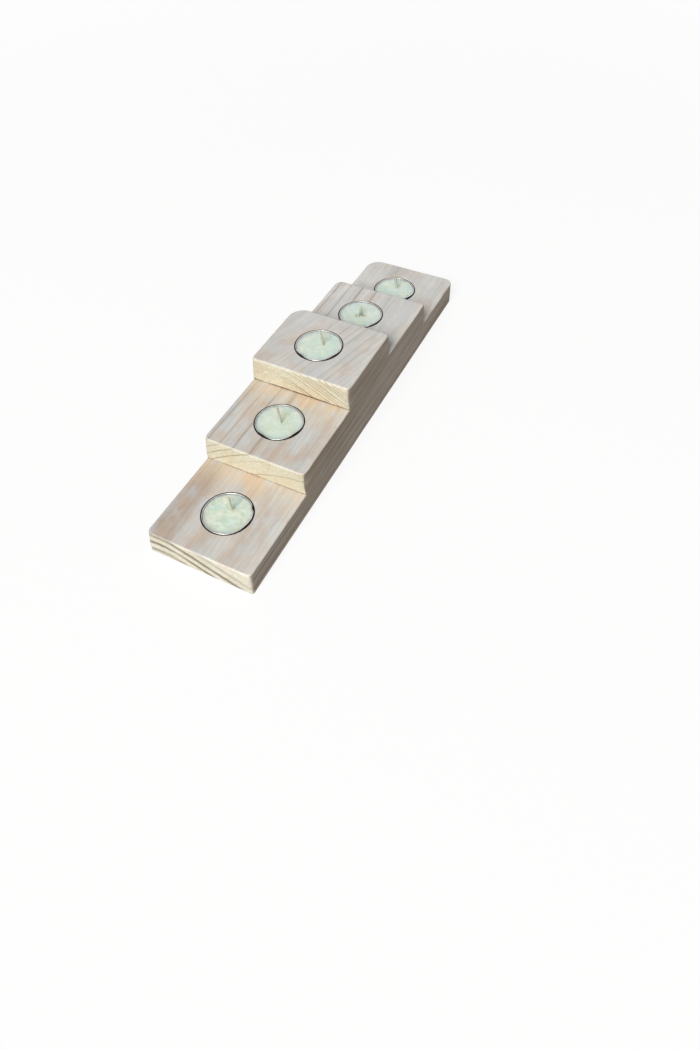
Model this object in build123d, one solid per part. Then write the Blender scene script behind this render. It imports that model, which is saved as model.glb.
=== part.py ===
from build123d import *
import os
from math import acos, degrees

# Advent candle holder: three pine boards glued into a stepped stack, and five
# tealights that stand in round bores, one on the top block and two on each step.
# Millimetres. X runs along the boards, Y across them and Z up. The origin is the
# centre of the underside. Candles are numbered from the -X end.

# Boards
board_width = 88.0
board_thickness = 22.4
base_length = 380.0
middle_length = 226.0
middle_shift = 2.0         # the middle board is glued on a little towards +X
top_length = 75.0
corner_round = 2.5         # three upright corners of each board
base_far_round = 13.0      # the +X +Y corner is sanded rounder, on each board in its own way
middle_far_round = 6.8
top_far_round = 13.8
top_edge_round = 1.6       # hand-sanded upper edges
bottom_edge_round = 0.6

# Glue between the boards
glue_thickness = 0.15
glue_margin = 2.0          # the glue stops short of the edges of the upper board

# Bores
bore_diameter = 40.0
bore_mouth_round = 0.6
near_setback = 40.0        # bore centre from the -X end of its board
far_setback = 38.0         # bore centre from the +X end of its board
bore_drift = 2.0           # the three bores furthest along are drilled off centre
match_tolerance = 1e-6     # for finding the edge of a bore's mouth

# Tealight cup, pressed from aluminium foil
cup_height = 15.0
cup_wall = 0.3
cup_draft = 0.4            # how much the wall leans in, from rim to floor
cup_corner = 1.5           # outer round between wall and floor
cup_clearance = 0.8        # rim to the wall of the bore
rim_curl = 0.4             # how far the rolled rim stands out from the wall
rim_above_wood = 0.1

# Wax
wax_clearance = 0.2        # wax to the wall of the cup
wax_below_rim = 1.2
meniscus_height = 0.35
meniscus_width = 1.8

# Wick and the steel sustainer that holds it upright
wick_diameter = 2.2
wick_clearance = 0.05
sustainer_diameter = 12.5
sustainer_thickness = 0.3
sustainer_neck = 3.2
sustainer_height = 4.5
sustainer_clearance = 0.1  # sustainer to the wax cast round it
bend_share = 0.45          # share of the free wick that curves, the rest is straight

# Each candle: wick centre from the bore centre in X and Y, lean of its tip
# in X and Y, and the length that stands out of the wax.
wick_settings = (
    (4.0, -0.7, -0.2, 0.5, 15.0),
    (0.5, -0.7, -0.9, 1.8, 17.0),
    (2.2, -1.8, -0.5, 1.0, 14.3),
    (-0.8, 0.0, 0.8, -1.5, 10.7),
    (3.5, -0.3, -1.0, 2.1, 16.5),
)

# Heights of the stack
base_top = board_thickness
middle_bottom = base_top + glue_thickness
middle_top = middle_bottom + board_thickness
top_bottom = middle_top + glue_thickness
top_top = top_bottom + board_thickness
bore_depth = cup_height - rim_above_wood

# Places of the bores: X, Y and the height of the wood round each mouth
bore_places = (
    (near_setback - base_length / 2, 0.0, base_top),
    (middle_shift - middle_length / 2 + near_setback, 0.0, middle_top),
    (0.0, bore_drift, top_top),
    (middle_shift + middle_length / 2 - far_setback, bore_drift, middle_top),
    (base_length / 2 - far_setback, bore_drift, base_top),
)

# Radii of the cup
bore_radius = bore_diameter / 2
rim_radius = bore_radius - cup_clearance
wall_top_radius = rim_radius - rim_curl
rim_inner_radius = wall_top_radius - cup_wall
base_radius = wall_top_radius - cup_draft
corner_centre_radius = base_radius - cup_corner
bead_radius = (cup_wall + rim_curl) / 2
bead_height = cup_height - bead_radius
bead_sweep = 180 + degrees(acos((cup_wall - bead_radius) / bead_radius))
wax_height = cup_height - wax_below_rim


def turned(edges):
    # Solid of revolution about Z from a closed outline drawn in the XZ plane.
    return revolve(Plane.XZ * make_face(edges), Axis.Z)


towards_far_corner = Axis((0, 0, 0), (1, 1, 0))


def outline(length, width, far_round):
    # Board seen from above, with one corner rounder than the other three.
    sharp = Rectangle(length, width).vertices().sort_by(towards_far_corner)
    eased = fillet(sharp[:-1], corner_round)
    return fillet(eased.vertices().sort_by(towards_far_corner)[-1], far_round)


def board(length, far_round, centre_x, bottom):
    # Plain board with rounded upright corners and sanded edges.
    blank = extrude(outline(length, board_width, far_round), board_thickness)
    blank = Pos(centre_x, 0, bottom) * blank
    upper = blank.faces().sort_by(Axis.Z)[-1].outer_wire().edges()
    blank = fillet(upper, top_edge_round)
    lower = blank.faces().sort_by(Axis.Z)[0].outer_wire().edges()
    return fillet(lower, bottom_edge_round)


def drilled(blank, places):
    # Flat-bottomed bores from above, with an eased mouth.
    for x, y, top in places:
        floor = Pos(x, y, top - bore_depth)
        blank -= floor * extrude(Circle(bore_radius), bore_depth)
        rims = [
            edge for edge in blank.edges().filter_by(GeomType.CIRCLE)
            if abs(edge.radius - bore_radius) < match_tolerance
            and (edge.arc_center - Vector(x, y, top)).length < match_tolerance
        ]
        blank = fillet(rims, bore_mouth_round)
    return blank


def glue_film(length, far_round, centre_x, bottom):
    spread = outline(length - 2 * glue_margin, board_width - 2 * glue_margin, far_round)
    return Pos(centre_x, 0, bottom) * extrude(spread, glue_thickness)


def candle_cup():
    # Drawn cup with a rolled rim, its floor at Z = 0.
    corner = (corner_centre_radius, cup_corner)
    bead = CenterArc((rim_inner_radius + bead_radius, bead_height), bead_radius, 180, -bead_sweep)
    outer_corner = CenterArc(corner, cup_corner, -90, 90)
    inner_corner = CenterArc(corner, cup_corner - cup_wall, -90, 90)
    return turned([
        Line((0, 0), outer_corner @ 0),
        outer_corner,
        Line(outer_corner @ 1, bead @ 1),
        bead,
        Line(bead @ 0, inner_corner @ 1),
        inner_corner,
        Line(inner_corner @ 0, (0, cup_wall)),
        Line((0, cup_wall), (0, 0)),
    ])


def wax_wall_radius(height):
    # The wax follows the leaning wall of the cup, one clearance inside it.
    lean = cup_draft * (bead_height - height) / (bead_height - cup_corner)
    return rim_inner_radius - lean - wax_clearance


def wax(wick_x, wick_y):
    # Poured wax with a raised meniscus, hollowed for the wick and its sustainer.
    round_radius = cup_corner - cup_wall - wax_clearance
    lower = CenterArc((corner_centre_radius, cup_wall + round_radius), round_radius, -90, 90)
    edge = (wax_wall_radius(wax_height + meniscus_height), wax_height + meniscus_height)
    meniscus = TangentArc((edge[0] - meniscus_width, wax_height), edge, tangent=(1, 0))
    puck = turned([
        Line((0, cup_wall), lower @ 0),
        lower,
        Line(lower @ 1, edge),
        meniscus,
        Line(meniscus @ 0, (0, wax_height)),
        Line((0, wax_height), (0, cup_wall)),
    ])
    floor = Pos(wick_x, wick_y, cup_wall)
    disc = Circle(sustainer_diameter / 2 + sustainer_clearance)
    neck = Circle(sustainer_neck / 2 + sustainer_clearance)
    puck -= floor * extrude(disc, sustainer_thickness + sustainer_clearance)
    puck -= floor * extrude(neck, sustainer_height + sustainer_clearance)
    puck -= floor * extrude(Circle(wick_diameter / 2 + wick_clearance), cup_height)
    return puck


def sustainer(wick_x, wick_y):
    # Steel disc with a crimped neck.
    neck = Circle(sustainer_neck / 2) - Circle(wick_diameter / 2 + wick_clearance)
    holder = extrude(Circle(sustainer_diameter / 2), sustainer_thickness)
    holder += Pos(0, 0, sustainer_thickness) * extrude(neck, sustainer_height - sustainer_thickness)
    return Pos(wick_x, wick_y, cup_wall) * holder


def wick(wick_x, wick_y, lean_x, lean_y, exposed):
    # Upright in the wax, then bent over towards its lean and straight to the tip.
    foot = Vector(0, 0, cup_wall + sustainer_thickness)
    surface = Vector(0, 0, wax_height)
    bend_height = bend_share * exposed
    bend_lean = Vector(lean_x, lean_y, 0) * bend_share / (2 - bend_share)
    bend = TangentArc(surface, surface + bend_lean + Vector(0, 0, bend_height), tangent=(0, 0, 1))
    tip = bend @ 1 + (bend % 1) * (exposed - bend_height)
    path = Wire([Line(foot, surface), bend, Line(bend @ 1, tip)])
    strand = sweep(Plane(foot, z_dir=(0, 0, 1)) * Circle(wick_diameter / 2), path=path)
    return Pos(wick_x, wick_y, 0) * strand


pieces = {
    "base_board": drilled(
        board(base_length, base_far_round, 0, 0), (bore_places[0], bore_places[4])
    ),
    "glue_film_lower": glue_film(middle_length, middle_far_round, middle_shift, base_top),
    "middle_board": drilled(
        board(middle_length, middle_far_round, middle_shift, middle_bottom),
        (bore_places[1], bore_places[3]),
    ),
    "glue_film_upper": glue_film(top_length, top_far_round, 0, middle_top),
    "top_block": drilled(board(top_length, top_far_round, 0, top_bottom), (bore_places[2],)),
}
for number, (place, setting) in enumerate(zip(bore_places, wick_settings), start=1):
    wick_x, wick_y, lean_x, lean_y, exposed = setting
    seat = Pos(place[0], place[1], place[2] - bore_depth)
    pieces[f"candle_cup_{number}"] = seat * candle_cup()
    pieces[f"wax_{number}"] = seat * wax(wick_x, wick_y)
    pieces[f"wick_sustainer_{number}"] = seat * sustainer(wick_x, wick_y)
    pieces[f"wick_{number}"] = seat * wick(wick_x, wick_y, lean_x, lean_y, exposed)

os.makedirs("parts", exist_ok=True)
for name, piece in pieces.items():
    export_step(piece, f"parts/{name}.step")
    print(name, round(piece.volume, 2))
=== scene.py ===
import math

import bmesh
import bpy
from mathutils import Matrix, Quaternion, Vector, noise


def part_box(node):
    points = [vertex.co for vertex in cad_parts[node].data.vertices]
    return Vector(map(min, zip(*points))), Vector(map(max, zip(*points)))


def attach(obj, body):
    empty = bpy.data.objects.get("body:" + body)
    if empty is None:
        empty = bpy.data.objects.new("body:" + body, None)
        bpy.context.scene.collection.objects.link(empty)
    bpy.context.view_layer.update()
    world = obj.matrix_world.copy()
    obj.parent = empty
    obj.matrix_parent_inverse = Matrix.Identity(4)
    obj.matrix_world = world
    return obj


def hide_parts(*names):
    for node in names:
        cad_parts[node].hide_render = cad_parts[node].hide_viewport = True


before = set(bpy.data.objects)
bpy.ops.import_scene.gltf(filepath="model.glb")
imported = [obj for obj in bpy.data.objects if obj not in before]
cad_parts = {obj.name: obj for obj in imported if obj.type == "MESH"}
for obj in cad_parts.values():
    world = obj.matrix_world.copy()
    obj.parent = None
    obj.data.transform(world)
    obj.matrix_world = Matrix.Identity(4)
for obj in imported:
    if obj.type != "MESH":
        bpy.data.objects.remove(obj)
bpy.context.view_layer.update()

scene = bpy.context.scene
candleNumbers = range(1, 6)
print("frame loaded:", len(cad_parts), "nodes")


def paint(red, green, blue):  # screen colour, 0 to 255, as the linear colour that the shaders take
    def linear(value):
        value = value / 255
        return value / 12.92 if value <= 0.04045 else ((value + 0.055) / 1.055) ** 2.4
    return (linear(red), linear(green), linear(blue), 1.0)


def smooth(value):  # 0 to 1 with soft ends
    value = min(max(value, 0.0), 1.0)
    return value * value * (3 - 2 * value)


# Mesh helpers

samePlace = 1e-6  # metres, points this close count as being in one place
weldGap = 1e-7  # metres, points this close are merged


def arcPoints(centreX, centreY, radius, start, end, steps):  # angles in degrees
    turns = [math.radians(start + (end - start) * step / steps) for step in range(steps + 1)]
    return [(centreX + radius * math.cos(turn), centreY + radius * math.sin(turn)) for turn in turns]


def footOf(node):  # middle of the underside of a node's box
    low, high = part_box(node)
    return Vector(((low.x + high.x) / 2, (low.y + high.y) / 2, low.z))


def spinSection(bm, foot, section, steps):  # turns (radius, height) points about an upright axis
    verts = [bm.verts.new(foot + Vector((radius, 0, height))) for radius, height in section]
    edges = [bm.edges.new(pair) for pair in zip(verts, verts[1:])]
    bmesh.ops.spin(
        bm, geom=verts + edges, cent=foot, axis=(0, 0, 1), angle=2 * math.pi, steps=steps, use_merge=True)
    bmesh.ops.remove_doubles(bm, verts=bm.verts[:], dist=weldGap)


def levelEdges(bm, height):  # every edge that lies flat at a height
    return [edge for edge in bm.edges if all(abs(vert.co.z - height) < samePlace for vert in edge.verts)]


def fillLevel(bm, height):  # closes the flat between the open edges at a height
    edges = [edge for edge in levelEdges(bm, height) if edge.is_boundary]
    bmesh.ops.triangle_fill(bm, use_beauty=True, use_dissolve=False, edges=edges, normal=(0, 0, 1))


def finishPiece(bm, name, material, body, node, sharpAngle=42):
    bmesh.ops.recalc_face_normals(bm, faces=bm.faces[:])
    for face in bm.faces:
        face.smooth = True
    for edge in bm.edges:
        edge.smooth = edge.calc_face_angle(0.0) < math.radians(sharpAngle)
    mesh = bpy.data.meshes.new(name)
    bm.to_mesh(mesh)
    bm.free()
    mesh.materials.append(material)
    piece = bpy.data.objects.new(name, mesh)
    scene.collection.objects.link(piece)
    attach(piece, body)
    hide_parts(node)
    return piece


# Shader helpers

def feed(tree, socket, value):  # a socket is linked, anything else is set
    if isinstance(value, bpy.types.NodeSocket):
        tree.links.new(value, socket)
    else:
        socket.default_value = value


def addNode(tree, kind, inputs=None, **settings):
    made = tree.nodes.new("ShaderNode" + kind)
    for key, value in settings.items():
        setattr(made, key, value)
    for key, value in (inputs or {}).items():
        feed(tree, made.inputs[key], value)
    return made


def calc(tree, operation, first, second=0.0, third=0.0, clamp=False):
    made = addNode(tree, "Math", operation=operation, use_clamp=clamp)
    for socket, value in zip(made.inputs, (first, second, third)):
        feed(tree, socket, value)
    return made.outputs[0]


def blendColour(tree, factor, first, second, mode="MIX"):
    made = addNode(tree, "Mix", data_type="RGBA", blend_type=mode, clamp_factor=True)
    for index, value in ((0, factor), (6, first), (7, second)):
        feed(tree, made.inputs[index], value)
    return made.outputs[2]


def ramp(tree, value, low, high, toLow=0.0, toHigh=1.0):
    made = addNode(tree, "MapRange", interpolation_type="SMOOTHSTEP")
    for index, number in enumerate((value, low, high, toLow, toHigh)):
        feed(tree, made.inputs[index], number)
    return made.outputs[0]


def grainNoise(tree, place, scale, detail=2.0, roughness=0.5, output="Fac"):
    stretched = addNode(tree, "Mapping", {"Vector": place, "Scale": scale}).outputs["Vector"]
    made = addNode(tree, "TexNoise", {
        "Vector": stretched, "Scale": 1.0, "Detail": detail, "Roughness": roughness})
    return made.outputs[output]


def noiseChannels(tree, place, scale, detail, roughness):  # unrelated noises of one scale
    colour = grainNoise(tree, place, scale, detail, roughness, "Color")
    return addNode(tree, "SeparateColor", {"Color": colour}).outputs


def readMask(tree, name):  # a value that the mesh keeps at its points
    return addNode(tree, "Attribute", attribute_name=name).outputs["Fac"]


def placeGroup(tree, group, values):
    made = tree.nodes.new("ShaderNodeGroup")
    made.node_tree = group
    for key, value in values.items():
        feed(tree, made.inputs[key], value)
    return made.outputs


def newMaterial(name):
    material = bpy.data.materials.new(name)
    material.use_nodes = True
    tree = material.node_tree
    tree.nodes.clear()
    shader = tree.nodes.new("ShaderNodeBsdfPrincipled")
    output = tree.nodes.new("ShaderNodeOutputMaterial")
    tree.links.new(shader.outputs["BSDF"], output.inputs["Surface"])
    place = tree.nodes.new("ShaderNodeTexCoord").outputs["Object"]
    return material, tree, shader, place


def addBump(tree, shader, height, strength, distance):
    bump = addNode(tree, "Bump", {"Height": height, "Strength": strength, "Distance": distance})
    tree.links.new(bump.outputs["Normal"], shader.inputs["Normal"])


# Growth rings, the same on a board's ends, top and sides. Seen from an end they are
# highest at the crest and fall away from it, in straight lines past the shoulder.

ringSockets = dict(
    crest="Crest", lineHeight="Line Height", leftSlope="Left Slope", rightSlope="Right Slope",
    shoulder="Shoulder", ringWidth="Ring Width", lineShare="Line Share", uneven="Uneven",
    weakest="Weakest", seed="Seed", drift="Drift", wander="Wander")
ringShape = dict(lift=0.003, ripple=0.0012, spacing=0.6, fullAt=-0.2, goneAt=0.6)
pineNoise = dict(  # scale along, across and up the board, then detail and roughness
    wander=((4, 14, 14), 2, 0.5), ripple=((12, 170, 170), 2, 0.5), tint=((46, 66, 66), 3, 0.6),
    fibre=((9, 520, 520), 4, 0.62), fleck=((60, 1700, 1700), 2, 0.5), saw=((10, 260, 1300), 3, 0.6),
    patch=((19, 40, 40), 4, 0.6))


def pineFigureGroup():
    group = bpy.data.node_groups.new("pineFigure", "ShaderNodeTree")
    group.interface.new_socket("Place", in_out="INPUT", socket_type="NodeSocketVector")
    for label in ringSockets.values():
        group.interface.new_socket(label, in_out="INPUT", socket_type="NodeSocketFloat")
    for label in ("Latewood", "Band", "Fibre", "Fleck", "Saw", "Patch", "Blush", "Chill"):
        group.interface.new_socket(label, in_out="OUTPUT", socket_type="NodeSocketFloat")
    given = group.nodes.new("NodeGroupInput").outputs
    result = group.nodes.new("NodeGroupOutput").inputs
    place = given["Place"]
    axes = addNode(group, "SeparateXYZ", {"Vector": place}).outputs
    # a point's place among the rings, counted in rings
    slow = noiseChannels(group, place, *pineNoise["wander"])
    sway = calc(group, "MULTIPLY", calc(group, "SUBTRACT", slow[0], 0.5), given["Wander"])
    across = calc(group, "ADD", calc(group, "SUBTRACT", axes["Y"], given["Crest"]), sway)
    upward = calc(group, "SUBTRACT", axes["Z"], given["Line Height"])
    upward = calc(group, "MULTIPLY_ADD", axes["X"], given["Drift"], upward)
    upward = calc(group, "MULTIPLY_ADD", calc(group, "SUBTRACT", slow[1], 0.5), ringShape["lift"], upward)
    leftSide = calc(group, "GREATER_THAN", across, 0.0)
    spare = calc(group, "SUBTRACT", given["Left Slope"], given["Right Slope"])
    slope = calc(group, "MULTIPLY_ADD", leftSide, spare, given["Right Slope"])
    shoulder, width = given["Shoulder"], given["Ring Width"]
    squares = calc(group, "MULTIPLY_ADD", across, across, calc(group, "MULTIPLY", shoulder, shoulder))
    fall = calc(group, "SUBTRACT", calc(group, "SQRT", squares), shoulder)
    rings = calc(group, "DIVIDE", calc(group, "MULTIPLY_ADD", fall, slope, upward), width)
    ripple = calc(group, "SUBTRACT", grainNoise(group, place, *pineNoise["ripple"]), 0.5)
    ripple = calc(group, "DIVIDE", calc(group, "MULTIPLY", ripple, ringShape["ripple"]), width)
    spacing = addNode(
        group, "TexNoise", {"W": rings, "Scale": ringShape["spacing"], "Detail": 1.0}, noise_dimensions="1D")
    uneven = calc(group, "SUBTRACT", spacing.outputs["Fac"], 0.5)
    uneven = calc(group, "MULTIPLY_ADD", uneven, given["Uneven"], 0.5)
    rings = calc(group, "ADD", calc(group, "ADD", rings, uneven), ripple)
    # a dark line in each ring, weaker in some years
    part = calc(group, "FRACT", rings)
    number = calc(group, "ADD", calc(group, "FLOOR", rings), given["Seed"])
    year = addNode(group, "TexWhiteNoise", {"W": number}, noise_dimensions="1D").outputs["Value"]
    weakest = given["Weakest"]
    strength = calc(group, "MULTIPLY_ADD", year, calc(group, "SUBTRACT", 1.0, weakest), weakest)
    share = given["Line Share"]
    start = calc(group, "SUBTRACT", 0.5, share)
    full = calc(group, "MULTIPLY_ADD", share, ringShape["fullAt"], 0.5)
    end = calc(group, "MULTIPLY_ADD", share, ringShape["goneAt"], 0.5)
    line = calc(group, "MULTIPLY", ramp(group, part, start, full), ramp(group, part, 0.5, end, 1.0, 0.0))
    wave = calc(group, "COSINE", calc(group, "MULTIPLY", part, 2 * math.pi))
    band = calc(group, "MULTIPLY_ADD", wave, -0.5, 0.5)
    band = calc(group, "MULTIPLY", band, calc(group, "MULTIPLY_ADD", strength, 0.5, 0.5))
    feed(group, result["Latewood"], calc(group, "MULTIPLY", line, strength))
    feed(group, result["Band"], band)
    for label in ("Fibre", "Fleck", "Saw", "Patch"):
        feed(group, result[label], grainNoise(group, place, *pineNoise[label.lower()]))
    tints = noiseChannels(group, place, *pineNoise["tint"])
    feed(group, result["Blush"], tints[0])
    feed(group, result["Chill"], tints[1])
    return group


pineFigure = pineFigureGroup()

# White-washed pine. Lengths in metres, and a board's line height is above its underside.

pineLook = dict(
    washNear=paint(209, 205, 198), washFar=paint(222, 221, 219), tanNear=paint(187, 168, 151),
    tanFar=paint(194, 191, 188), blushNear=paint(202, 182, 167), blushFar=paint(206, 195, 187),
    chill=paint(205, 209, 212), raw=paint(220, 194, 158), edgeGleam=paint(236, 231, 222),
    sideTan=paint(192, 170, 146), sideStreak=paint(138, 116, 93), lineTan=paint(156, 141, 126),
    boreShade=paint(96, 76, 56), seam=paint(104, 74, 46), green=paint(214, 214, 190),
    bandHighlight=paint(221, 219, 215), edgeReach=0.0085, edgeShare=0.6, footBounceReach=0.030, footBounceShare=0.66,
    coverFlat=0.92, coverEnd=0.08, greenShare=0.35, tintShare=0.75, sideShare=0.6, gleamLeast=0.38,
    streak=(0.92, 1.05), saw=(0.88, 1.08), fleck=(0.92, 1.05), roughness=(0.55, 0.78), specular=0.3,
    bump=0.35, bumpDepth=0.00022)
boardFigures = {
    "base_board": dict(
        early=paint(250, 245, 230), warm=paint(240, 230, 204), line=paint(118, 111, 91),
        lineStrength=0.95, lineLeft=1.0, topContrast=0.85, topLine=0.2, seam=0.0, turn=0,
        crest=0.033, lineHeight=0.0122, leftSlope=0.3, rightSlope=0.37, shoulder=0.012, ringWidth=0.0086,
        lineShare=0.44, uneven=0.25, weakest=0.0, seed=23375, drift=0.01, wander=0.007),
    "middle_board": dict(
        early=paint(226, 220, 196), warm=paint(220, 208, 178), line=paint(146, 128, 90),
        lineStrength=0.85, lineLeft=1.0, topContrast=0.8, topLine=0.6, seam=0.55, turn=0,
        crest=-0.050, lineHeight=0.0144, leftSlope=1.05, rightSlope=0.3, shoulder=0.100, ringWidth=0.0074,
        lineShare=0.15, uneven=0.15, weakest=0.0, seed=33573, drift=0.0, wander=0.004),
    "top_block": dict(
        early=paint(224, 217, 191), warm=paint(218, 204, 174), line=paint(150, 122, 84),
        lineStrength=0.9, lineLeft=0.25, topContrast=0.32, topLine=0.22, seam=0.95, turn=15,
        crest=0.031, lineHeight=0.0080, leftSlope=0.2, rightSlope=0.62, shoulder=0.040, ringWidth=0.0036,
        lineShare=0.34, uneven=1.6, weakest=0.1, seed=0, drift=0.0, wander=0.010),
}
stepAbove = {"base_board": "middle_board", "middle_board": "top_block", "top_block": None}


def pineMaterial(node):
    figure, look = boardFigures[node], pineLook
    low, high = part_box(node)
    material, tree, shader, place = newMaterial("washed_pine_" + node)
    endGrain = readMask(tree, "endGrain")
    edgeHighlight = readMask(tree, "edgeHighlight")
    longSide = readMask(tree, "longSide")
    bore = readMask(tree, "bore")
    axes = addNode(tree, "SeparateXYZ", {"Vector": place}).outputs
    turn = (0, 0, math.radians(figure["turn"]))
    turned = addNode(tree, "Mapping", {"Vector": place, "Rotation": turn}).outputs["Vector"]
    straight = {0: longSide, 4: turned, 5: place}  # the grain runs straight along the sides
    along = addNode(tree, "Mix", straight, data_type="VECTOR").outputs[1]
    rings = {label: figure[key] for key, label in ringSockets.items()}
    rings["Line Height"] += low.z
    marks = placeGroup(tree, pineFigure, {"Place": along, **rings})
    blush = ramp(tree, marks["Blush"], 0.43, 0.66)
    chill = ramp(tree, marks["Chill"], 0.43, 0.66)
    # bare wood, seen on the ends
    raw = blendColour(tree, ramp(tree, marks["Patch"], 0.35, 0.7), figure["early"], figure["warm"])
    raw = blendColour(tree, calc(tree, "MULTIPLY", chill, look["greenShare"]), raw, look["green"])
    onRight, onLeft = figure["lineStrength"], figure["lineStrength"] * figure["lineLeft"]
    lines = ramp(tree, axes["Y"], -0.012, 0.020, onRight, onLeft)
    lines = calc(tree, "MULTIPLY", lines, ramp(tree, marks["Blush"], 0.36, 0.56, 0.7, 1.0))
    raw = blendColour(tree, calc(tree, "MULTIPLY", marks["Latewood"], lines), raw, figure["line"])
    # white wash, thin over the tan parts; warmer at the near end and lighter and greyer towards the far end,
    # a painted sheen of grazing light
    farSheen = ramp(tree, axes["X"], -0.12, 0.07)
    wash = blendColour(tree, farSheen, look["washNear"], look["washFar"])
    tanShade = blendColour(tree, farSheen, look["tanNear"], look["tanFar"])
    blushShade = blendColour(tree, farSheen, look["blushNear"], look["blushFar"])
    latePart = calc(tree, "MULTIPLY", marks["Latewood"], 0.30)
    figured = calc(tree, "MULTIPLY_ADD", marks["Band"], 0.40, latePart)
    tanPart = calc(tree, "MULTIPLY_ADD", marks["Patch"], 1.9, -0.75)
    tanPart = calc(tree, "MULTIPLY_ADD", figured, figure["topContrast"], tanPart, clamp=True)
    washed = blendColour(tree, tanPart, wash, tanShade)
    washed = blendColour(tree, calc(tree, "MULTIPLY", blush, look["tintShare"]), washed, blushShade)
    washed = blendColour(tree, calc(tree, "MULTIPLY", chill, look["tintShare"]), washed, look["chill"])
    topLines = calc(tree, "MULTIPLY", ramp(tree, marks["Chill"], 0.36, 0.60, 0.4, 1.0), figure["topLine"])
    topLines = calc(tree, "MULTIPLY", marks["Latewood"], topLines)
    washed = blendColour(tree, topLines, washed, look["lineTan"])
    # browner long sides, with streaks
    washed = blendColour(tree, calc(tree, "MULTIPLY", longSide, look["sideShare"]), washed, look["sideTan"])
    sideLines = calc(tree, "MULTIPLY", marks["Latewood"], 0.25)
    sideLines = calc(tree, "MULTIPLY_ADD", ramp(tree, marks["Fibre"], 0.42, 0.60), 0.65, sideLines)
    sideLines = calc(tree, "MULTIPLY", sideLines, longSide)
    washed = blendColour(tree, sideLines, washed, look["sideStreak"])
    if stepAbove[node]:  # warmer along the foot of the step: partly the wood's own warmer colour, partly painted warm light bounced off the step's end
        toStep = calc(tree, "SUBTRACT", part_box(stepAbove[node])[0].x, axes["X"])
        foot = ramp(tree, toStep, -0.002, look["footBounceReach"], look["footBounceShare"], 0.0)
        foot = calc(tree, "MULTIPLY", foot, calc(tree, "GREATER_THAN", toStep, -0.004))
        foot = calc(tree, "MULTIPLY", foot, ramp(tree, axes["Z"], high.z - 0.003, high.z - 0.001))
        foot = calc(tree, "MULTIPLY", foot, ramp(tree, marks["Blush"], 0.40, 0.58, 0.3, 1.0))
        washed = blendColour(tree, foot, washed, look["raw"])
    # painted highlight: a lighter band along the right-hand edge, where the rounded edge catches the light
    toSide = calc(tree, "SUBTRACT", axes["Y"], low.y)
    highlightBand = ramp(tree, toSide, 0.0015, look["edgeReach"], look["edgeShare"], 0.0)
    highlightBand = calc(tree, "MULTIPLY", highlightBand, ramp(tree, longSide, 0.0, 0.5, 1.0, 0.0))
    highlightBand = calc(tree, "MULTIPLY", highlightBand, ramp(tree, marks["Chill"], 0.34, 0.58, 0.6, 1.0))
    washed = blendColour(tree, highlightBand, washed, look["bandHighlight"])
    # it ends unevenly on the end grain
    brushed = calc(tree, "SUBTRACT", marks["Chill"], 0.5)
    brushed = calc(tree, "MULTIPLY_ADD", brushed, 1.2, endGrain)
    cover = ramp(tree, brushed, 0.15, 0.75, look["coverFlat"], look["coverEnd"])
    colour = blendColour(tree, cover, raw, washed)
    # dark joint under a step, on its end only
    climb = calc(tree, "SUBTRACT", axes["Z"], low.z)
    seam = calc(tree, "MULTIPLY", ramp(tree, climb, 0.0012, 0.0019, figure["seam"], 0.0), endGrain)
    seam = calc(tree, "MULTIPLY", seam, ramp(tree, marks["Chill"], 0.4, 0.6, 1.0, 0.4))
    colour = blendColour(tree, seam, colour, look["seam"])
    # fine grain and saw marks, and a painted highlight on the rounded edges
    streak = ramp(tree, marks["Fibre"], 0.30, 0.70, *look["streak"])
    colour = blendColour(tree, 1.0, colour, streak, "MULTIPLY")
    rough = blendColour(tree, endGrain, (1, 1, 1, 1), ramp(tree, marks["Saw"], 0.3, 0.7, *look["saw"]))
    colour = blendColour(tree, 1.0, colour, rough, "MULTIPLY")
    fleck = ramp(tree, marks["Fleck"], 0.25, 0.75, *look["fleck"])
    colour = blendColour(tree, 1.0, colour, fleck, "MULTIPLY")
    gleamShare = calc(tree, "MULTIPLY", edgeHighlight, ramp(tree, marks["Chill"], 0.38, 0.56, 0.35, 1.0))
    colour = blendColour(tree, gleamShare, colour, look["edgeGleam"])
    # painted shade in the bores, darkest near the mouth where the gap round the cup shows
    colour = blendColour(tree, bore, colour, look["boreShade"])
    feed(tree, shader.inputs["Base Color"], colour)
    feed(tree, shader.inputs["Roughness"], ramp(tree, marks["Fibre"], 0.2, 0.8, *look["roughness"]))
    shader.inputs["Specular IOR Level"].default_value = look["specular"]
    relief = calc(tree, "MULTIPLY_ADD", marks["Latewood"], 0.5, marks["Fibre"])
    relief = calc(tree, "MULTIPLY_ADD", marks["Fleck"], 0.35, relief)
    relief = calc(tree, "MULTIPLY_ADD", calc(tree, "MULTIPLY", marks["Saw"], endGrain), 0.8, relief)
    addBump(tree, shader, relief, look["bump"], look["bumpDepth"])
    return material


# Boards: a block with its upright corners sanded one by one, then the upper and lower edges

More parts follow.
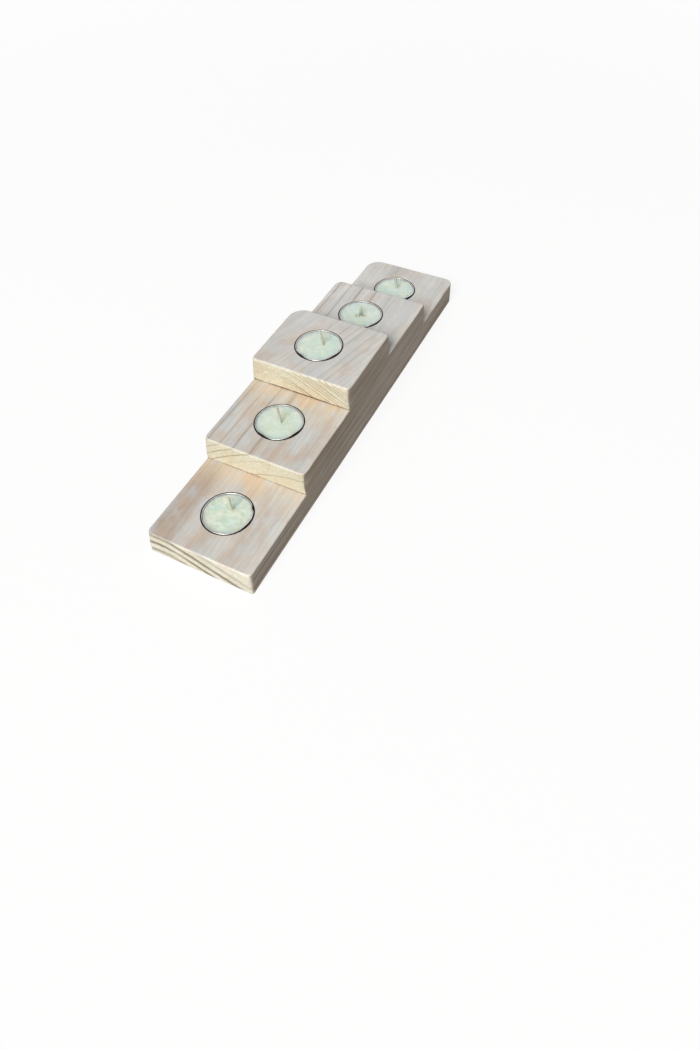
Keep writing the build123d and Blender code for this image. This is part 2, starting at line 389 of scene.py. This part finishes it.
boardShape = dict(
    edgeSteps=5, footSteps=4, cornerSteps=10, support=0.00025, flatArea=0.0002, cutPitch=0.0095, crossCuts=9,
    levels=(0.12, 0.24, 0.38, 0.52, 0.66, 0.77, 0.86), sandCurve=2.2, easeReach=0.010, easeWidth=0.004,
    easeCuts=(0.12, 0.25, 0.38, 0.52, 0.66, 0.82), wobble=0.00025, wobbleScale=40, wobbleSeed=3.7)
boardEase = {"base_board": 0.0004, "middle_board": 0.0013, "top_block": 0.0013}  # sanding of the right side
boardEdges = {"base_board": 0.0014, "middle_board": 0.0015, "top_block": 0.0018}  # round of the upper edge
boardFeet = {"base_board": 0.0014, "middle_board": 0.0005, "top_block": 0.0005}  # round of the lower edge
boardCorners = {  # near left, near right, far right and far left corner: radius at the top and at the foot
    "base_board": ((0.0050, 0.0018), (0.0034, 0.0024), (0.0075, 0.0075), (0.0130, 0.0130)),
    "middle_board": ((0.0048, 0.0012), (0.0022, 0.0009), (0.0024, 0.0012), (0.0068, 0.0068)),
    "top_block": ((0.0042, 0.0014), (0.0024, 0.0014), (0.0028, 0.0014), (0.0138, 0.0138)),
}
boardBores = {"base_board": (1, 5), "middle_board": (2, 4), "top_block": (3,)}
boreShape = dict(
    radius=0.020, mouthRound=0.0003, mouthSteps=4, support=0.0005, wallStep=0.006, steps=112, slack=0.00005,
    spurRadius=0.0017, spurTip=0.3, spurDepth=0.0013, floorShade=0.3, shadeHeight=0.008)


def cornerEdges(bm, x, y):
    return [
        edge for edge in bm.edges
        if all(abs(vert.co.x - x) < samePlace and abs(vert.co.y - y) < samePlace for vert in edge.verts)]


def roundEdges(bm, edges, radius, steps):
    bmesh.ops.bevel(
        bm, geom=edges, offset=radius, segments=steps, affect="EDGES", profile=0.5, material=-1,
        clamp_overlap=True)


def sharpenFoot(bm, x, y, radius, foot, bottom, top):  # a corner sanded most at the top keeps a crisp foot
    corner, reach = Vector((x, y)), radius + samePlace
    for vert in bm.verts:
        near = abs(vert.co.x - x) < reach and abs(vert.co.y - y) < reach
        if near and vert.co.z < top:
            climb = max(0.0, (vert.co.z - bottom) / (top - bottom)) ** boardShape["sandCurve"]
            local = foot + (radius - foot) * climb
            vert.co.xy = corner + (vert.co.to_2d() - corner) * (local / radius)


def easeSide(bm, depth, low, high):  # the right side curves in towards the near end, but not at its foot
    for vert in bm.verts:
        nearness = 1 - (vert.co.x - low.x) / boardShape["easeReach"]
        if nearness > 0 and vert.co.y < low.y + boardShape["easeWidth"]:
            climb = smooth(2 * (vert.co.z - low.z) / (high.z - low.z))
            vert.co.y += depth * climb * nearness ** 2


def sinkBore(bm, number, top):  # mouth, wall and flat floor, with the mark of the drill's centre point
    foot = footOf(f"candle_cup_{number}")
    depth = top - foot.z
    radius, mouth, support = boreShape["radius"], boreShape["mouthRound"], boreShape["support"]
    spur, spurDepth = boreShape["spurRadius"], boreShape["spurDepth"]
    section = [(radius + mouth + support, depth)]
    section += arcPoints(radius + mouth, depth - mouth, mouth, 90, 180, boreShape["mouthSteps"])
    section += [(radius, boreShape["wallStep"]), (radius, support), (radius, 0.0), (radius - support, 0.0)]
    section += [(spur, 0.0), (boreShape["spurTip"] * spur, -spurDepth), (0.0, -spurDepth)]
    spinSection(bm, foot, section, boreShape["steps"])


def markWood(bm, node):  # painted highlights on the edges, how far a surface cuts across the grain, and painted shade in the bores
    bmesh.ops.recalc_face_normals(bm, faces=bm.faces[:])
    bm.normal_update()
    edgeHighlight = bm.verts.layers.float.new("edgeHighlight")
    endGrain = bm.verts.layers.float.new("endGrain")
    longSide = bm.verts.layers.float.new("longSide")
    bore = bm.verts.layers.float.new("bore")
    feet = [footOf(f"candle_cup_{number}") for number in boardBores[node]]
    reach, floorShade = boreShape["radius"] + boreShape["slack"], boreShape["floorShade"]
    least = pineLook["gleamLeast"]
    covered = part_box(stepAbove[node]) if stepAbove[node] else None
    for vert in bm.verts:
        inBore = any((vert.co - foot).to_2d().length < reach for foot in feet)
        upShare = vert.normal.z * abs(vert.normal.z)
        vert[endGrain] = vert.normal.x ** 2
        vert[longSide] = vert.normal.y ** 2
        if inBore:  # bare wood, with painted shade darker up the wall, where the gap round the cup lies in shadow
            shaded = smooth((vert.co.z - feet[0].z) / boreShape["shadeHeight"])
            vert[bore] = floorShade + (1 - floorShade) * shaded
            vert[endGrain] = 1.0
        elif not covered or not covered[0].x < vert.co.x < covered[1].x:
            edgeGleam = least + (1 - least) * max(0.0, -vert.normal.y)  # painted highlight, most along the right-hand edges
            vert[edgeHighlight] = max(0.0, 4 * upShare * (1 - upShare)) * edgeGleam


def cutPlanes(low, high):  # place and direction of the cuts that give a board points to move
    count, across = round((high.x - low.x) / boardShape["cutPitch"]), boardShape["crossCuts"]
    ease = boardShape["easeReach"]
    planes = [((low.x + (high.x - low.x) * step / count, 0, 0), (1, 0, 0)) for step in range(1, count)]
    planes += [((low.x + ease * share, 0, 0), (1, 0, 0)) for share in boardShape["easeCuts"]]
    planes += [((0, 0, low.z + (high.z - low.z) * level), (0, 0, 1)) for level in boardShape["levels"]]
    planes += [((0, low.y + (high.y - low.y) * step / across, 0), (0, 1, 0)) for step in range(1, across)]
    return planes


def makeBoard(node, seed):
    low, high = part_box(node)
    bm = bmesh.new()
    bmesh.ops.create_cube(bm, size=1)
    bmesh.ops.scale(bm, vec=high - low, verts=bm.verts[:])
    bmesh.ops.translate(bm, vec=(low + high) / 2, verts=bm.verts[:])
    places = ((low.x, high.y), (low.x, low.y), (high.x, low.y), (high.x, high.y))
    for (x, y), radii in zip(places, boardCorners[node]):
        roundEdges(bm, cornerEdges(bm, x, y), radii[0], boardShape["cornerSteps"])
    roundEdges(bm, levelEdges(bm, high.z), boardEdges[node], boardShape["edgeSteps"])
    roundEdges(bm, levelEdges(bm, low.z), boardFeet[node], boardShape["footSteps"])
    flats = [face for face in bm.faces if face.calc_area() > boardShape["flatArea"]]
    bmesh.ops.inset_individual(bm, faces=flats, thickness=boardShape["support"], use_even_offset=True)
    bm.normal_update()
    upward = [face for face in bm.faces if face.normal.z > 0.999]
    lids = [face for face in upward if face.calc_area() > boardShape["flatArea"]]
    bmesh.ops.delete(bm, geom=lids, context="FACES_ONLY")  # made again once the bores are in
    for place, normal in cutPlanes(low, high):
        everything = bm.verts[:] + bm.edges[:] + bm.faces[:]
        bmesh.ops.bisect_plane(bm, geom=everything, dist=weldGap, plane_co=place, plane_no=normal)
    for (x, y), radii in zip(places, boardCorners[node]):
        sharpenFoot(bm, x, y, *radii, low.z, high.z - boardEdges[node])
    easeSide(bm, boardEase[node], low, high)
    bm.normal_update()
    for vert in bm.verts:  # slightly uneven faces, never outside the block
        sample = vert.co * boardShape["wobbleScale"] + Vector((seed, 0, 0))
        out = Vector((vert.normal.x, vert.normal.y, 0))
        vert.co -= out * boardShape["wobble"] * (0.5 + 0.5 * noise.noise(sample))
    for number in boardBores[node]:
        sinkBore(bm, number, high.z)
    fillLevel(bm, high.z)
    markWood(bm, node)
    return finishPiece(bm, node + "_wood", pineMaterial(node), "stand", node)


for index, node in enumerate(boardBores):
    makeBoard(node, boardShape["wobbleSeed"] * index)
print("boards made")


# Dried glue between the boards, seen only as a line in the joints

def glueMaterial():
    material, tree, shader, place = newMaterial("dried_glue")
    mottle = grainNoise(tree, place, (60, 60, 60), 3)
    colour = blendColour(tree, mottle, paint(196, 176, 128), paint(232, 218, 178))
    feed(tree, shader.inputs["Base Color"], colour)
    feed(tree, shader.inputs["Roughness"], ramp(tree, mottle, 0.3, 0.7, 0.3, 0.5))
    addBump(tree, shader, mottle, 0.3, 0.0002)
    return material


glueLook = glueMaterial()
for node in ("glue_film_lower", "glue_film_upper"):
    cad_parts[node].data.materials.clear()
    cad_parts[node].data.materials.append(glueLook)


# Foil cups: a drawn wall with a rolled rim, pressed in at a few places (turn, depth, spread in degrees)

cupShape = dict(
    wall=0.0003, curl=0.0004, draft=0.0004, corner=0.0015, cornerSteps=6, beadStart=-110, beadSteps=10,
    footRise=0.0004, footRadius=0.0125, footSlope=0.0006, footEdge=0.001, steps=120, dentHeight=0.012,
    ripple=0.00008, rippleTurns=5, rippleHeight=120, rippleSeed=7)
cupDents = {
    1: ((-50, 0.0010, 7), (258, 0.0008, 24)),
    2: ((165, 0.0013, 15), (250, 0.0014, 21)),
    3: ((158, 0.0012, 15), (246, 0.0014, 21)),
    4: ((242, 0.0011, 24),),
    5: ((243, 0.0016, 23),),
}


def foilMaterial():
    material, tree, shader, place = newMaterial("pressed_foil")
    drawn = grainNoise(tree, place, (900, 900, 60), 3, 0.6)
    crinkle = grainNoise(tree, place, (160, 160, 160), 3, 0.55)
    colour = blendColour(tree, ramp(tree, crinkle, 0.3, 0.7), (0.45, 0.46, 0.46, 1), (0.62, 0.63, 0.63, 1))
    feed(tree, shader.inputs["Base Color"], colour)
    feed(tree, shader.inputs["Roughness"], ramp(tree, drawn, 0.25, 0.75, 0.24, 0.42))
    shader.inputs["Metallic"].default_value = 1.0
    addBump(tree, shader, calc(tree, "MULTIPLY_ADD", drawn, 0.4, crinkle), 0.3, 0.0002)
    return material


def rimPush(number, out):  # how far the rim is pressed in, in a direction from the axis
    turn = math.degrees(math.atan2(out.y, out.x))
    push = 0.0
    for place, depth, spread in cupDents[number]:
        off = ((turn - place + 180) % 360 - 180) / spread
        push += depth * math.exp(-off * off)
    return push


def cupSection(rim, height):  # from the outside of the floor, round the rim, to its inside
    wall, corner, steps = cupShape["wall"], cupShape["corner"], cupShape["cornerSteps"]
    foot, rise = cupShape["footRadius"], cupShape["footRise"]
    slope = foot + cupShape["footSlope"]
    bead = (wall + cupShape["curl"]) / 2
    inner = rim - 2 * bead
    base = inner + wall - cupShape["draft"] - corner
    section = [(0.0, rise), (foot, rise), (slope, 0.0)]
    section += arcPoints(base, corner, corner, -90, 0, steps)
    section += arcPoints(inner + bead, height - bead, bead, cupShape["beadStart"], 180, cupShape["beadSteps"])
    section += arcPoints(base, corner, corner - wall, 0, -90, steps)
    return section + [(slope, wall), (foot, wall + rise), (0.0, wall + rise)]


def makeCup(number, material):
    node = f"candle_cup_{number}"
    low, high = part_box(node)
    foot = footOf(node)
    bm = bmesh.new()
    spinSection(bm, foot, cupSection((high.x - low.x) / 2, high.z - low.z), cupShape["steps"])
    for vert in bm.verts:
        out = Vector((vert.co.x - foot.x, vert.co.y - foot.y, 0))
        if out.length < cupShape["footRadius"] + cupShape["footEdge"]:
            continue
        out.normalize()
        height = vert.co.z - foot.z
        seed = Vector((number * cupShape["rippleSeed"], 0, height * cupShape["rippleHeight"]))
        uneven = 1 - noise.noise(out * cupShape["rippleTurns"] + seed)
        push = rimPush(number, out) + cupShape["ripple"] * uneven
        vert.co -= out * push * smooth(height / cupShape["dentHeight"])
    return finishPiece(bm, f"foil_cup_{number}", material, f"cup_{number}", node)


foil = foilMaterial()
for number in candleNumbers:
    makeCup(number, foil)
print("foil cups made")


# Wax: poured level, drawn up a little at the wall and round the wick, with soft ripples

waxShape = dict(
    steps=96, rings=24, rise=0.00035, riseWidth=0.0018, bottomRound=0.0010, roundSteps=4, lipEase=0.0001,
    lipHeight=0.0002, lipWidth=0.0003, surfaceEdge=0.0002, collar=0.0007, collarRadius=0.0034,
    rippleScale=160, fineScale=2.3, rippleSeed=3.1, calmWidth=0.004, pocket=0.00635, pocketHeight=0.0004,
    neck=0.0017, neckHeight=0.0046, pocketSteps=48)
waxRipple = {1: 0.0006, 2: 0.0003, 3: 0.0003, 4: 0.00025, 5: 0.0002}  # height of the ripples
waxDarkPatch = {  # strength of the dark patch at the wick, its turn in degrees, length and width
    1: (0.12, 0, 0.004, 0.004),
    2: (0.06, 0, 0.004, 0.004),
    3: (0.0, 0, 0.004, 0.004),
    4: (0.9, -63, 0.0085, 0.0036),
    5: (0.0, 0, 0.004, 0.004),
}


wickEnds = dict(footDepth=0.00001, tipDepth=0.0004)  # how much of each end of its solid is read


def wickLine(number):  # foot and tip of the wick, read from its solid
    corners = [vert.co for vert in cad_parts[f"wick_{number}"].data.vertices]
    lowest = min(corner.z for corner in corners)
    highest = max(corner.z for corner in corners)
    footPoints = [corner for corner in corners if corner.z < lowest + wickEnds["footDepth"]]
    tipPoints = [corner for corner in corners if corner.z > highest - wickEnds["tipDepth"]]
    return sum(footPoints, Vector()) / len(footPoints), sum(tipPoints, Vector()) / len(tipPoints)


def waxMaterial():
    material, tree, shader, place = newMaterial("poured_wax")
    along = addNode(tree, "SeparateXYZ", {"Vector": place}).outputs["X"]
    darkPatch = readMask(tree, "darkPatch")
    cloud = grainNoise(tree, place, (90, 90, 90), 3, 0.55)
    cream = grainNoise(tree, place, (125, 125, 125), 2)
    frost = grainNoise(tree, place, (900, 900, 900), 2, 0.6)
    swirl = grainNoise(tree, place, (190, 190, 190), 4, 0.6)
    tint = blendColour(tree, ramp(tree, along, -0.16, 0.12), paint(209, 219, 196), paint(214, 230, 224))
    colour = blendColour(tree, ramp(tree, cloud, 0.35, 0.65), tint, paint(205, 226, 215))
    colour = blendColour(tree, ramp(tree, cream, 0.48, 0.66, 0.0, 0.75), colour, paint(231, 236, 217))
    colour = blendColour(tree, ramp(tree, swirl, 0.44, 0.64, 0.0, 0.65), colour, paint(226, 234, 221))
    colour = blendColour(tree, ramp(tree, frost, 0.45, 0.8, 0.0, 0.35), colour, paint(220, 230, 222))
    patchy = ramp(tree, grainNoise(tree, place, (600, 600, 600), 2), 0.3, 0.55)
    colour = blendColour(tree, calc(tree, "MULTIPLY", darkPatch, patchy), colour, paint(104, 108, 76))
    feed(tree, shader.inputs["Base Color"], colour)
    feed(tree, shader.inputs["Roughness"], ramp(tree, cloud, 0.3, 0.7, 0.34, 0.5))
    shader.inputs["Subsurface Weight"].default_value = 0.8
    shader.inputs["Subsurface Radius"].default_value = (1.0, 0.95, 0.8)
    shader.inputs["Subsurface Scale"].default_value = 0.008
    shader.inputs["Specular IOR Level"].default_value = 0.4
    addBump(tree, shader, calc(tree, "MULTIPLY_ADD", swirl, 0.6, cloud), 0.3, 0.0007)
    return material


def makeWax(number, material):
    node, shape = f"wax_{number}", waxShape
    low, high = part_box(node)
    foot, wickFoot = footOf(node), wickLine(number)[0]
    outer, height = (high.x - low.x) / 2, high.z - low.z
    corner, draft, rise = shape["bottomRound"], cupShape["draft"], shape["rise"]
    section = arcPoints(outer - draft - corner, corner, corner, -90, 0, shape["roundSteps"])
    section += [(outer - 0.5 * draft, 0.5 * height), (outer - shape["lipEase"], height - shape["lipHeight"])]
    surface = outer - shape["lipWidth"]
    for step in range(shape["rings"] + 1):
        radius = surface * (1 - step / shape["rings"])
        climb = 1 - smooth((surface - radius) / shape["riseWidth"])
        section.append((radius, height - rise + rise * climb))
    bm = bmesh.new()
    spinSection(bm, foot, section, shape["steps"])
    darkPatch = bm.verts.layers.float.new("darkPatch")
    strength, turn, length, width = waxDarkPatch[number]
    smear = Matrix.Rotation(math.radians(turn), 2)
    scale = shape["rippleScale"]
    for vert in bm.verts:
        flat = Vector((vert.co.x - foot.x, vert.co.y - foot.y, 0))
        fromWick = (vert.co - wickFoot).to_2d()
        if vert.co.z > high.z - 2 * rise and flat.length < outer - shape["surfaceEdge"]:
            sample = Vector((vert.co.x * scale, vert.co.y * scale, number * shape["rippleSeed"]))
            ripple = noise.noise(sample) + 0.5 * noise.noise(sample * shape["fineScale"])
            vert.co.z += waxRipple[number] * smooth((outer - flat.length) / shape["calmWidth"]) * ripple
            vert.co.z += shape["collar"] * (1 - smooth(fromWick.length / shape["collarRadius"])) ** 2
            aside = fromWick @ smear
            vert[darkPatch] = strength * (1 - smooth(math.hypot(aside.x / length, aside.y / width)))
        if flat.length > 0.5 * outer:  # follows the dents of its cup
            edgeShare = smooth(2 * flat.length / outer - 1)
            out = flat.normalized()
            climb = smooth((vert.co.z - foot.z) / cupShape["dentHeight"])
            vert.co -= out * rimPush(number, out) * edgeShare * climb
    pocket, neck = shape["pocket"], shape["neck"]
    disc, neckTop = shape["pocketHeight"], shape["neckHeight"]
    hollow = [(pocket, 0.0), (pocket, disc), (neck, disc), (neck, neckTop), (0.0, neckTop)]
    spinSection(bm, Vector((wickFoot.x, wickFoot.y, low.z)), hollow, shape["pocketSteps"])
    fillLevel(bm, low.z)
    return finishPiece(bm, f"poured_wax_{number}", material, f"candle_{number}", node)


waxLook = waxMaterial()
for number in candleNumbers:
    makeWax(number, waxLook)
print("wax poured")


# Wicks: three waxed strands twisted together, bent towards the tip

wickShape = dict(
    radius=0.00108, strands=3, strandDepth=0.14, points=30, steps=40, twistLength=0.0055, bendShare=0.45,
    rootDepth=0.002, tipTrim=0.0006, tipRings=((0.86, 0.00015), (0.6, 0.00018)), fray=0.00004,
    frayScales=(900, 1100), fraySeed=5, sharpAngle=60)
wickDarkFoot = {1: 0.0, 2: 0.0, 3: 0.0, 4: 0.85, 5: 0.0}  # the fourth wick is darker towards its foot


def wickMaterial():
    material, tree, shader, place = newMaterial("waxed_cotton")
    thread = grainNoise(tree, place, (2600, 2600, 900), 3, 0.6)
    soak = grainNoise(tree, place, (260, 260, 160), 2)
    colour = blendColour(tree, ramp(tree, thread, 0.3, 0.7), paint(188, 189, 168), paint(213, 213, 195))
    colour = blendColour(tree, ramp(tree, soak, 0.4, 0.7, 0.0, 0.5), colour, paint(197, 204, 182))
    colour = blendColour(tree, readMask(tree, "darkFoot"), colour, paint(128, 136, 112))
    feed(tree, shader.inputs["Base Color"], colour)
    feed(tree, shader.inputs["Roughness"], ramp(tree, soak, 0.3, 0.7, 0.5, 0.75))
    addBump(tree, shader, thread, 0.5, 0.0002)
    return material


def extrudeRing(bm, edges):
    made = bmesh.ops.extrude_edge_only(bm, edges=edges)["geom"]
    verts = [item for item in made if isinstance(item, bmesh.types.BMVert)]
    fresh = set(verts)
    rims = [item for item in made if isinstance(item, bmesh.types.BMEdge) and fresh.issuperset(item.verts)]
    return verts, rims


def makeWick(number, material):
    foot, tip = wickLine(number)
    surface = Vector((foot.x, foot.y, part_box(f"wax_{number}")[1].z - waxShape["rise"]))
    bend = surface + Vector((0, 0, wickShape["bendShare"] * (tip.z - surface.z)))
    tip = tip - (tip - bend).normalized() * wickShape["tipTrim"]
    stops = [surface - Vector((0, 0, wickShape["rootDepth"]))]
    for step in range(wickShape["steps"] + 1):
        share = step / wickShape["steps"]
        stops.append(surface.lerp(bend, share).lerp(bend.lerp(tip, share), share))
    bm = bmesh.new()
    verts = bmesh.ops.create_circle(bm, segments=wickShape["points"], radius=wickShape["radius"])["verts"]
    edges = bm.edges[:]
    for vert in verts:
        turn = math.atan2(vert.co.y, vert.co.x)
        vert.co *= 1 - wickShape["strandDepth"] * (0.5 - 0.5 * math.cos(wickShape["strands"] * turn))
    bmesh.ops.translate(bm, vec=foot, verts=verts)
    bmesh.ops.edgeloop_fill(bm, edges=edges)
    centre, along = foot, Vector((0, 0, 1))
    for stop in stops:
        verts, edges = extrudeRing(bm, edges)
        step = stop - centre
        turn = along.rotation_difference(step.normalized()).to_matrix()
        twist = Matrix.Rotation(2 * math.pi * step.length / wickShape["twistLength"], 3, step.normalized())
        bmesh.ops.translate(bm, vec=step, verts=verts)
        bmesh.ops.rotate(bm, cent=stop, matrix=twist @ turn, verts=verts)
        centre, along = stop, step.normalized()
    for shrink, step in wickShape["tipRings"]:  # blunt tip
        verts, edges = extrudeRing(bm, edges)
        bmesh.ops.translate(bm, vec=along * step, verts=verts)
        centre = centre + along * step
        bmesh.ops.scale(bm, vec=(shrink, shrink, shrink), space=Matrix.Translation(-centre), verts=verts)
    bmesh.ops.edgeloop_fill(bm, edges=edges)
    darkFoot = bm.verts.layers.float.new("darkFoot")
    coarse, fine = wickShape["frayScales"]
    for vert in bm.verts:  # loose threads, and darkening that fades towards the tip
        vert[darkFoot] = wickDarkFoot[number] * (1 - smooth((vert.co.z - surface.z) / (tip.z - surface.z)))
        if vert.co.z > surface.z:
            fray = noise.noise(vert.co * coarse + Vector((number * wickShape["fraySeed"], 0, 0)))
            vert.co += Vector((fray, noise.noise(vert.co * fine), 0)) * wickShape["fray"]
    return finishPiece(
        bm, f"cotton_wick_{number}", material, f"candle_{number}", f"wick_{number}",
        wickShape["sharpAngle"])


cotton = wickMaterial()
for number in candleNumbers:
    makeWick(number, cotton)
print("wicks made")


# Sustainers keep their solids, with a tinned sheet finish

def tinMaterial():
    material, tree, shader, place = newMaterial("tinned_sheet")
    spangle = addNode(tree, "TexVoronoi", {"Vector": place, "Scale": 700.0}).outputs["Color"]
    shade = addNode(tree, "SeparateColor", {"Color": spangle}).outputs[0]
    scuff = grainNoise(tree, place, (1500, 300, 300), 3)
    colour = blendColour(tree, shade, (0.50, 0.50, 0.51, 1), (0.66, 0.66, 0.66, 1))
    feed(tree, shader.inputs["Base Color"], colour)
    feed(tree, shader.inputs["Roughness"], ramp(tree, scuff, 0.3, 0.7, 0.26, 0.5))
    shader.inputs["Metallic"].default_value = 1.0
    addBump(tree, shader, scuff, 0.2, 0.0001)
    return material


tin = tinMaterial()
for number in candleNumbers:
    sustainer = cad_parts[f"wick_sustainer_{number}"]
    sustainer.data.materials.clear()
    sustainer.data.materials.append(tin)
print("solids finished")


# Floor and light: a white studio floor that keeps a soft shadow, a large window light and a pale sky

floorLook = dict(reach=9.0, seenGlow=0.84, glowFrom=0.4, glowTo=1.8, seenColour=0.95, bounceColour=0.28)
skyLook = dict(fill=0.22, fillColour=(0.97, 0.985, 1.0, 1))
keyLight = dict(toward=(-0.72, -0.05, 0.69), distance=8.0, size=4.5, power=700.0, colour=(1.0, 0.985, 0.96))


def seenRays(tree):  # 1 for what the camera sees, straight or in metal and glass
    rays = addNode(tree, "LightPath").outputs
    seen = calc(tree, "MAXIMUM", rays["Is Camera Ray"], rays["Is Glossy Ray"])
    return calc(tree, "MAXIMUM", seen, rays["Is Transmission Ray"])


def makeFloor():
    bm = bmesh.new()
    bmesh.ops.create_grid(bm, x_segments=1, y_segments=1, size=floorLook["reach"])
    mesh = bpy.data.meshes.new("studio_floor")
    bm.to_mesh(mesh)
    bm.free()
    floor = bpy.data.objects.new("studio_floor", mesh)
    scene.collection.objects.link(floor)
    material = bpy.data.materials.new("studio_white")
    material.use_nodes = True
    tree = material.node_tree
    tree.nodes.clear()
    shade, grey = floorLook["seenColour"], floorLook["bounceColour"]
    matt = addNode(tree, "BsdfDiffuse", {"Color": (shade, shade, shade, 1)}).outputs[0]
    glow = addNode(tree, "Emission", {"Color": (1, 1, 1, 1), "Strength": 1.0}).outputs[0]
    place = tree.nodes.new("ShaderNodeTexCoord").outputs["Object"]
    away = addNode(tree, "VectorMath", {0: place}, operation="LENGTH").outputs["Value"]
    fade = ramp(tree, away, floorLook["glowFrom"], floorLook["glowTo"], floorLook["seenGlow"], 1.0)
    shown = addNode(tree, "MixShader", {0: fade, 1: matt, 2: glow}).outputs[0]
    bounce = addNode(tree, "BsdfDiffuse", {"Color": (grey, grey, grey, 1)}).outputs[0]
    final = addNode(tree, "MixShader", {0: seenRays(tree), 1: bounce, 2: shown}).outputs[0]
    tree.links.new(final, tree.nodes.new("ShaderNodeOutputMaterial").inputs["Surface"])
    mesh.materials.append(material)


def makeLight():
    world = bpy.data.worlds.new("studio_sky")
    world.use_nodes = True
    tree = world.node_tree
    tree.nodes.clear()
    pale = {"Color": skyLook["fillColour"], "Strength": skyLook["fill"]}
    fill = addNode(tree, "Background", pale).outputs[0]
    white = addNode(tree, "Background", {"Color": (1, 1, 1, 1), "Strength": 1.0}).outputs[0]
    sky = addNode(tree, "MixShader", {0: seenRays(tree), 1: fill, 2: white}).outputs[0]
    tree.links.new(sky, tree.nodes.new("ShaderNodeOutputWorld").inputs["Surface"])
    scene.world = world
    lamp = bpy.data.lights.new("window_light", "AREA")
    lamp.shape = "DISK"
    lamp.size = keyLight["size"]
    lamp.energy = keyLight["power"]
    lamp.color = keyLight["colour"]
    window = bpy.data.objects.new("window_light", lamp)
    toward = Vector(keyLight["toward"]).normalized()
    window.location = toward * keyLight["distance"]
    window.rotation_euler = toward.to_track_quat("Z", "Y").to_euler()
    scene.collection.objects.link(window)


makeFloor()
makeLight()
print("floor and light ready")

# Camera, at the photograph's place: angles in degrees, lengths in metres

cameraView = dict(
    aim=(-0.0049, -0.0277, 0.022), azimuth=-62.45, elevation=43.96, distance=0.6667, roll=-1.56,
    lens=27.37, shiftY=-0.119, clipStart=0.01)


def makeCamera():
    camera = bpy.data.cameras.new("view_camera")
    camera.lens = cameraView["lens"]
    camera.shift_y = cameraView["shiftY"]
    camera.clip_start = cameraView["clipStart"]
    holder = bpy.data.objects.new("view_camera", camera)
    azimuth, elevation = math.radians(cameraView["azimuth"]), math.radians(cameraView["elevation"])
    level = math.cos(elevation)
    back = Vector((math.sin(azimuth) * level, -math.cos(azimuth) * level, math.sin(elevation)))
    holder.location = Vector(cameraView["aim"]) + back * cameraView["distance"]
    upright = (-back).to_track_quat("-Z", "Y")
    holder.rotation_mode = "QUATERNION"
    holder.rotation_quaternion = upright @ Quaternion((0, 0, 1), math.radians(cameraView["roll"]))
    scene.collection.objects.link(holder)
    scene.camera = holder


makeCamera()
scene.view_settings.view_transform = "Standard"
